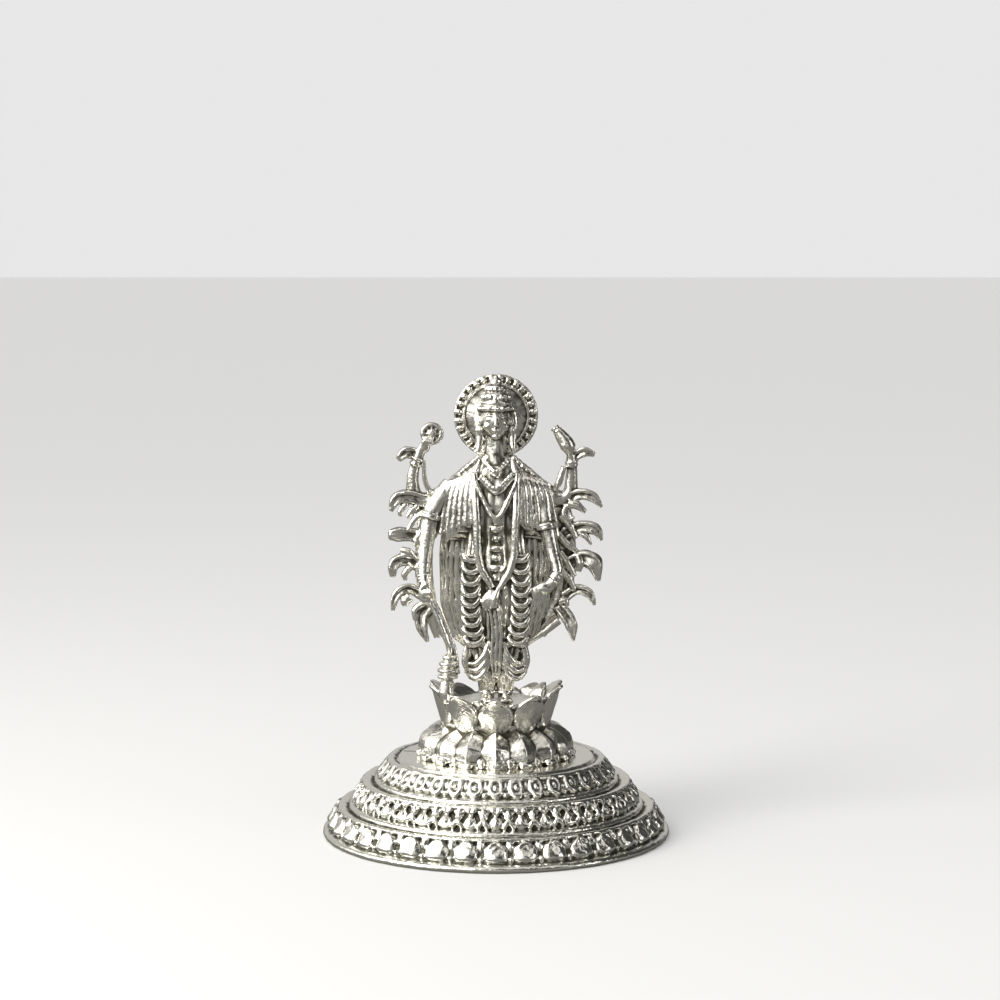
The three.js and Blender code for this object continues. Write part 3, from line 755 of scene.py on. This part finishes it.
def beaded(work, path, size, gap):
    spots = curve_points(path, 60)
    travelled = 0.0
    last = spots[0][0]
    for place, _, _ in spots:
        travelled += (place - last).length
        last = place
        if travelled >= gap:
            travelled = 0.0
            lump(work, place, (size, size, size), round_steps=8, rows=6)


def ornaments(work):
    beaded(work, [(-2.8, -1.8, 81.8), (0, -4.5, 79.3), (2.8, -1.8, 81.8)], 0.55, 0.75)
    beaded(work, [(-3.6, -4.2, 78.8), (0, -5.7, 75.8), (3.6, -4.2, 78.8)], 0.6, 0.8)
    limb(work, [(-2.8, -1.8, 81.2), (0, -4.6, 78.4), (2.8, -1.8, 81.2)], [0.35, 0.4, 0.35], sides=10)
    limb(work, [(-3.6, -4.2, 77.9), (0, -5.7, 74.8), (3.6, -4.2, 77.9)], [0.35, 0.4, 0.35], sides=10)
    limb(work, [(-4.4, -4.4, 77), (0, -6.0, 69.4), (4.4, -4.4, 77)], [0.5, 0.6, 0.5])
    lump(work, (0, -6.0, 69.0), (0.9, 0.6, 1.1))
    for side in (-1, 1):
        limb(work, [(side * 4.6, -3.6, 79), (side * 4.2, -5.2, 70), (side * 3.6, -5.6, 60),
                    (side * 0.8, -6.0, 54.4)],
             [0.7, 0.9, 0.9, 0.7], steps=40)
    for k in range(6):
        wide = 1.3 if k % 2 == 0 else 0.7
        lump(work, (0.1, -5.3, 67.0 - 2.1 * k), (wide, 0.7, 0.75), square=0.8)
    lump(work, (-1.0, -6.0, 51.8), (1.7, 1.0, 2.4))
    limb(work, [(-1.6, -5.6, 53.4), (-2.6, -6.0, 51.4), (-1.8, -6.2, 49.6)], [0.6, 0.8, 0.5], sides=12)
    limb(work, [(0.6, -5.8, 54.6), (-0.2, -6.6, 52.4), (-0.6, -6.6, 50.2)], [0.5, 0.8, 0.6], sides=12)
    limb(work, [(-0.6, -5.6, 52), (0.2, -5.4, 46), (0.1, -4.9, 39.4), (0, -4.2, 34.6)], [1.3, 1.5, 1.3, 0.9],
         flat=0.5, steps=30)
    for x in (-0.9, 0.0, 0.9):
        limb(work, [(x - 0.4, -6.2, 50), (x + 0.2, -6.0, 45), (x, -5.5, 39.6), (x * 0.7, -4.7, 35)],
             [0.34, 0.4, 0.36, 0.3], sides=8)


def hems(work):
    """Curved folds of the robe that swing down from the middle and out to the sides."""
    for side in (-1, 1):
        for k in range(3):
            drop = 1.9 * k
            limb(work, [(side * 1.5, -4.9, 42.6 - drop), (side * 2.6, -5.0, 39.6 - drop),
                        (side * 4.6, -4.5, 37.6 - drop * 0.8),
                        (side * 6.6, -3.2, 38.2 - drop * 0.6)], [0.5, 0.75, 0.7, 0.45], sides=12, steps=20)
        limb(work, [(side * 6.0, -3.6, 41.6), (side * 6.4, -3.4, 38), (side * 5.2, -3.0, 34.2)],
             [0.8, 1.0, 0.7])


def cape_folds(work):
    for side in (-1, 1):
        for k in range(7):
            limb(work, [(side * (3.4 + 0.4 * k), -1.8 + 0.1 * k, 81.8 - 0.6 * k),
                        (side * (4.9 + 1.0 * k), -3.8 + 0.3 * k, 76.2 - 0.1 * k),
                        (side * (5.2 + 1.35 * k), -4.3 + 0.4 * k, 68.0 - 0.5 * k)],
                 [0.45, 0.65, 0.6], sides=10)
        for k in range(8):
            lump(work, (side * (3.9 + 0.98 * k), -1.2 + 0.12 * k, 82.0 - 0.86 * k), (0.85, 1.1, 0.7),
                 (0, side * 35, 0), round_steps=12, rows=8)


def clothing(work):
    drapery(work, CLOAK, CLOAK_PLEATS, 0.13, 320, 50)
    drapery(work, ROBE, ROBE_PLEATS, 0.13, 160, 60)
    hem = drapery(work, CAPE, 24, 0.09, 192, 30)
    for row in range(12):
        for vertex in hem[row]:
            vertex.co.z += (1 - row / 12) * (2.2 - 5.0 * (vertex.co.x / 11.2) ** 2)


def idol_shapes(work):
    lotus_shapes(work)
    clothing(work)
    cape_folds(work)
    legs(work)
    head(work)
    crown(work)
    halo(work)
    lowered_arms(work)
    mace(work)
    raised_arms(work)
    scarf(work)
    garlands(work)
    ornaments(work)
    hems(work)


# Casting: everything that is cast as one runs together, softens and shows small unevenness

def cast(name, shapes, voxel, most_triangles, limits):
    """Fuses the shapes to one skin, in millimetres, and gives the piece in metres."""
    work = bmesh.new()
    shapes(work)
    bmesh.ops.recalc_face_normals(work, faces=work.faces)
    mesh = bpy.data.meshes.new(name)
    work.to_mesh(mesh)
    work.free()
    piece = bpy.data.objects.new(name, mesh)
    bpy.context.scene.collection.objects.link(piece)
    fuse = piece.modifiers.new("fuse", "REMESH")
    fuse.mode = "VOXEL"
    fuse.voxel_size = voxel
    soften = piece.modifiers.new("soften", "SMOOTH")
    soften.factor = 0.5
    soften.iterations = 2
    apply_modifiers(piece)
    triangles = sum(len(p.vertices) - 2 for p in piece.data.polygons)
    thin = piece.modifiers.new("thin", "DECIMATE")
    thin.ratio = min(1.0, most_triangles / triangles)
    apply_modifiers(piece)
    uneven(piece.data, limits)
    mark_hollows(piece.data)
    piece.data.transform(Matrix.Scale(MM, 4))
    for polygon in piece.data.polygons:
        polygon.use_smooth = True
    return piece


def apply_modifiers(piece):
    scene_state = bpy.context.evaluated_depsgraph_get()
    made = bpy.data.meshes.new_from_object(piece.evaluated_get(scene_state))
    piece.modifiers.clear()
    old = piece.data
    piece.data = made
    bpy.data.meshes.remove(old)


CAST_LUMPS = ((2.0, 0.10), (0.8, 0.06))  # size and height of the unevenness


def points_of(mesh, what):
    values = np.zeros(len(mesh.vertices) * 3)
    mesh.vertices.foreach_get(what, values)
    return values.reshape(-1, 3)


def uneven(mesh, limits):
    """Moves each point a little along its normal, and keeps the piece inside its solid's box."""
    place = points_of(mesh, "co")
    shift = np.zeros(len(place))
    for size, height in CAST_LUMPS:
        shift += height * np.array([noise.noise(Vector(point)) for point in place / size])
    place += points_of(mesh, "normal") * shift[:, None]
    place = np.clip(place, limits[0], limits[1])
    mesh.vertices.foreach_set("co", place.ravel())
    mesh.update()


# The 8-step scale finds fine crevices, darkened as tarnish; the 40-step scale finds broader hollows,
# darkened as painted shade
HOLLOWS = {8: (0.10, 1.0), 40: (0.9, 0.35)}  # smoothing steps, the depth in mm of a hollow, its weight


def mark_hollows(mesh):
    """Stores how deep each point lies in a hollow: the gap to a much smoothed copy of the surface."""
    count = len(mesh.vertices)
    place = points_of(mesh, "co")
    normal = points_of(mesh, "normal")
    pairs = np.zeros(len(mesh.edges) * 2, dtype=np.int64)
    mesh.edges.foreach_get("vertices", pairs)
    first, second = pairs.reshape(-1, 2).T
    near = np.bincount(first, minlength=count) + np.bincount(second, minlength=count)
    depth = np.zeros(count)
    smooth = place.copy()
    for step in range(1, 41):
        total = np.zeros((count, 3))
        for axis in range(3):
            total[:, axis] += np.bincount(first, smooth[second, axis], count)
            total[:, axis] += np.bincount(second, smooth[first, axis], count)
        smooth = 0.3 * smooth + 0.7 * total / near[:, None]
        if step in HOLLOWS:
            full, weight = HOLLOWS[step]
            depth += weight * np.clip(np.einsum("ij,ij->i", smooth - place, normal) / full, -1, 1)
    # The materials darken the colour by this depth: tarnish in the fine crevices, painted shade in the
    # broader hollows
    hollow = mesh.attributes.new("hollow", "FLOAT", "POINT")
    hollow.data.foreach_set("value", np.clip(0.5 + 0.5 * depth, 0, 1).astype(np.float32))


# Materials

def add_sockets(group, inputs, outputs):
    for name, kind, value in inputs:
        made = group.interface.new_socket(name=name, in_out="INPUT", socket_type=kind)
        made.default_value = value
    for name, kind in outputs:
        group.interface.new_socket(name=name, in_out="OUTPUT", socket_type=kind)
    return group.nodes.new("NodeGroupInput"), group.nodes.new("NodeGroupOutput")


def tarnish_and_shade_group():
    """Silver tone, bright on what stands proud and darkened in the hollows (tarnish in the fine crevices,
    painted shade in the broader hollows), with cloudy patches.
    """
    group = bpy.data.node_groups.new("tarnish_and_shade", "ShaderNodeTree")
    inside, out = add_sockets(
        group,
        [("Bright", "NodeSocketColor", (0.9, 0.88, 0.82, 1)), ("Dark", "NodeSocketColor",
                                                               (0.1, 0.1, 0.08, 1)),
         ("Reach", "NodeSocketFloat", 0.5), ("Patch Size", "NodeSocketFloat", 300.0)],
        [("Color", "NodeSocketColor"), ("Roughness", "NodeSocketFloat")])
    nodes, links = group.nodes, group.links
    hollow = nodes.new("ShaderNodeAttribute")
    hollow.attribute_name = "hollow"
    where = nodes.new("ShaderNodeTexCoord")
    patches = nodes.new("ShaderNodeTexNoise")
    patches.inputs["Detail"].default_value = 4
    links.new(where.outputs["Object"], patches.inputs["Vector"])
    links.new(inside.outputs["Patch Size"], patches.inputs["Scale"])
    sway = nodes.new("ShaderNodeMath")
    sway.operation = "MULTIPLY_ADD"
    sway.inputs[1].default_value = 0.24
    sway.inputs[2].default_value = -0.12
    links.new(patches.outputs["Fac"], sway.inputs[0])
    total = nodes.new("ShaderNodeMath")
    total.operation = "ADD"
    links.new(hollow.outputs["Fac"], total.inputs[0])
    links.new(sway.outputs[0], total.inputs[1])
    # This mask darkens the colour by hollow depth: tarnish in the fine crevices, painted shade in the
    # broader hollows
    tarnish_and_shade_mask = nodes.new("ShaderNodeMapRange")
    tarnish_and_shade_mask.interpolation_type = "SMOOTHSTEP"
    tarnish_and_shade_mask.inputs["From Max"].default_value = 1.0
    links.new(total.outputs[0], tarnish_and_shade_mask.inputs["Value"])
    links.new(inside.outputs["Reach"], tarnish_and_shade_mask.inputs["From Min"])
    mix = nodes.new("ShaderNodeMix")
    mix.data_type = "RGBA"
    links.new(tarnish_and_shade_mask.outputs[0], mix.inputs["Factor"])
    links.new(inside.outputs["Bright"], mix.inputs[6])
    links.new(inside.outputs["Dark"], mix.inputs[7])
    links.new(mix.outputs[2], out.inputs["Color"])
    rough = nodes.new("ShaderNodeMapRange")
    rough.inputs["To Min"].default_value = 0.17
    rough.inputs["To Max"].default_value = 0.5
    links.new(tarnish_and_shade_mask.outputs[0], rough.inputs["Value"])
    links.new(rough.outputs[0], out.inputs["Roughness"])
    return group


def casting_grain_group():
    """Fine unevenness of a cast and hand-polished surface, as a height."""
    group = bpy.data.node_groups.new("casting grain", "ShaderNodeTree")
    inside, out = add_sockets(group, [("Size", "NodeSocketFloat", 900.0), ("Marks", "NodeSocketFloat", 0.4)],
                              [("Height", "NodeSocketFloat")])
    nodes, links = group.nodes, group.links
    where = nodes.new("ShaderNodeTexCoord")
    lumps = nodes.new("ShaderNodeTexNoise")
    lumps.inputs["Detail"].default_value = 3
    links.new(where.outputs["Object"], lumps.inputs["Vector"])
    links.new(inside.outputs["Size"], lumps.inputs["Scale"])
    dents = nodes.new("ShaderNodeTexVoronoi")
    dents.feature = "SMOOTH_F1"
    links.new(where.outputs["Object"], dents.inputs["Vector"])
    links.new(inside.outputs["Size"], dents.inputs["Scale"])
    blend = nodes.new("ShaderNodeMath")
    blend.operation = "MULTIPLY_ADD"
    links.new(dents.outputs["Distance"], blend.inputs[0])
    links.new(inside.outputs["Marks"], blend.inputs[1])
    links.new(lumps.outputs["Fac"], blend.inputs[2])
    links.new(blend.outputs[0], out.inputs["Height"])
    return group


def silver(name, tarnish_and_shade, grain, bright, dark, reach, grain_size, bump):
    material = bpy.data.materials.new(name)
    material.use_nodes = True
    nodes, links = material.node_tree.nodes, material.node_tree.links
    shader = nodes["Principled BSDF"]
    shader.inputs["Metallic"].default_value = 1.0
    colour = nodes.new("ShaderNodeGroup")
    colour.node_tree = tarnish_and_shade
    colour.inputs["Bright"].default_value = (*bright, 1)
    colour.inputs["Dark"].default_value = (*dark, 1)
    colour.inputs["Reach"].default_value = reach
    links.new(colour.outputs["Color"], shader.inputs["Base Color"])
    links.new(colour.outputs["Roughness"], shader.inputs["Roughness"])
    surface = nodes.new("ShaderNodeGroup")
    surface.node_tree = grain
    surface.inputs["Size"].default_value = grain_size
    relief = nodes.new("ShaderNodeBump")
    relief.inputs["Strength"].default_value = bump
    relief.inputs["Distance"].default_value = 0.0002
    links.new(surface.outputs["Height"], relief.inputs["Height"])
    links.new(relief.outputs["Normal"], shader.inputs["Normal"])
    return material


# Pieces

def in_box(node):
    """The solid's box in millimetres, a hair smaller."""
    low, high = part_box(node)
    hair = Vector((0.02, 0.02, 0.0))
    return low / MM + hair, high / MM - hair


def make_pieces():
    tarnish_and_shade = tarnish_and_shade_group()
    grain = casting_grain_group()
    # Dark is the tarnish of the fine crevices and the painted shade of the broader hollows
    finishes = {
        "idol": silver("idol silver", tarnish_and_shade, grain, (0.90, 0.88, 0.82), (0.10, 0.095, 0.072), 0.46,
                       1500, 0.4),
        "plinth": silver("plinth silver", tarnish_and_shade, grain, (0.89, 0.88, 0.82), (0.09, 0.088, 0.066),
                         0.46, 1400, 0.4),
    }
    shapes = {"idol": (idol_shapes, 0.17), "plinth": (plinth_shapes, 0.22)}
    for node, (shape, voxel) in shapes.items():
        piece = cast(node + "_casting", shape, voxel, 190000, in_box(node))
        piece.data.materials.append(finishes[node])
        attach(piece, "root")
        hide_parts(node)


# Floor, backdrop and lights

def pale_floor():
    """Pale to the eye and darker to what mirrors it, so that the metal keeps its dark undersides."""
    material = bpy.data.materials.new("pale floor")
    material.use_nodes = True
    nodes, links = material.node_tree.nodes, material.node_tree.links
    rays = nodes.new("ShaderNodeLightPath")
    mix = nodes.new("ShaderNodeMix")
    mix.data_type = "RGBA"
    mix.inputs[6].default_value = (0.80, 0.80, 0.80, 1)
    mix.inputs[7].default_value = (0.16, 0.16, 0.15, 1)
    links.new(rays.outputs["Is Glossy Ray"], mix.inputs["Factor"])
    shader = nodes["Principled BSDF"]
    shader.inputs["Roughness"].default_value = 0.8
    links.new(mix.outputs[2], shader.inputs["Base Color"])
    return material


def make_floor():
    work = bmesh.new()
    bmesh.ops.create_grid(work, x_segments=1, y_segments=1, size=60.0)
    mesh = bpy.data.meshes.new("floor")
    work.to_mesh(mesh)
    work.free()
    floor = bpy.data.objects.new("floor", mesh)
    mesh.materials.append(pale_floor())
    bpy.context.scene.collection.objects.link(floor)


def softbox(name, place, aim, wide, tall, power, colour):
    data = bpy.data.lights.new(name, "AREA")
    data.shape = "RECTANGLE"
    data.size = wide
    data.size_y = tall
    data.energy = power
    data.color = colour
    light = bpy.data.objects.new(name, data)
    light.location = place
    light.rotation_euler = (Vector(place) - Vector(aim)).to_track_quat("Z", "Y").to_euler()
    bpy.context.scene.collection.objects.link(light)


# Bright fields of the studio as the metal mirrors them: direction, edges of the soft round, light
ROOM_BASE = 0.055
ROOM_FIELDS = [
    ((-0.88, -0.38, 0.28), (0.40, 0.90), 1.75),
    ((-0.10, -0.20, 0.97), (0.80, 0.98), 0.70),
    ((0.05, -1.00, 0.05), (0.90, 0.99), 0.40),
    ((0.90, -0.42, 0.12), (0.955, 0.975), 0.90),
    ((0.55, -0.45, 0.70), (0.965, 0.985), 0.90),
    ((-0.20, 0.95, 0.10), (0.50, 0.95), 0.50),
]


def make_room():
    """Soft light fields for what mirrors the room, one pale tone for what is lit or seen directly."""
    world = bpy.data.worlds.new("studio")
    world.use_nodes = True
    nodes, links = world.node_tree.nodes, world.node_tree.links
    where = nodes.new("ShaderNodeTexCoord")
    total = None
    for direction, (edge, full), bright in ROOM_FIELDS:
        along = nodes.new("ShaderNodeVectorMath")
        along.operation = "DOT_PRODUCT"
        along.inputs[1].default_value = Vector(direction).normalized()
        links.new(where.outputs["Generated"], along.inputs[0])
        soft = nodes.new("ShaderNodeMapRange")
        soft.interpolation_type = "SMOOTHSTEP"
        soft.inputs["From Min"].default_value = edge
        soft.inputs["From Max"].default_value = full
        soft.inputs["To Max"].default_value = bright
        links.new(along.outputs["Value"], soft.inputs["Value"])
        add = nodes.new("ShaderNodeMath")
        links.new(soft.outputs[0], add.inputs[0])
        if total is None:
            add.inputs[1].default_value = ROOM_BASE
        else:
            links.new(total.outputs[0], add.inputs[1])
        total = add
    mirrored = nodes["Background"]
    mirrored.inputs["Color"].default_value = (1.0, 0.985, 0.94, 1)
    links.new(total.outputs[0], mirrored.inputs["Strength"])
    pale = nodes.new("ShaderNodeBackground")
    pale.inputs["Color"].default_value = (0.80, 0.80, 0.80, 1)
    rays = nodes.new("ShaderNodeLightPath")
    direct = nodes.new("ShaderNodeMath")
    direct.operation = "MAXIMUM"
    links.new(rays.outputs["Is Camera Ray"], direct.inputs[0])
    links.new(rays.outputs["Is Diffuse Ray"], direct.inputs[1])
    mix = nodes.new("ShaderNodeMixShader")
    links.new(direct.outputs[0], mix.inputs[0])
    links.new(mirrored.outputs[0], mix.inputs[1])
    links.new(pale.outputs[0], mix.inputs[2])
    links.new(mix.outputs[0], nodes["World Output"].inputs["Surface"])
    bpy.context.scene.world = world


def make_light():
    softbox("key", (-0.42, -0.30, 0.34), (0, 0, 0.05), 0.30, 0.42, 2.4, (1.0, 0.98, 0.93))
    softbox("right strip", (0.50, -0.22, 0.16), (0, 0, 0.05), 0.04, 0.3, 0.15, (1.0, 0.98, 0.95))
    make_room()
    bpy.context.scene.view_settings.view_transform = "Standard"


make_camera()
make_pieces()
make_floor()
make_light()
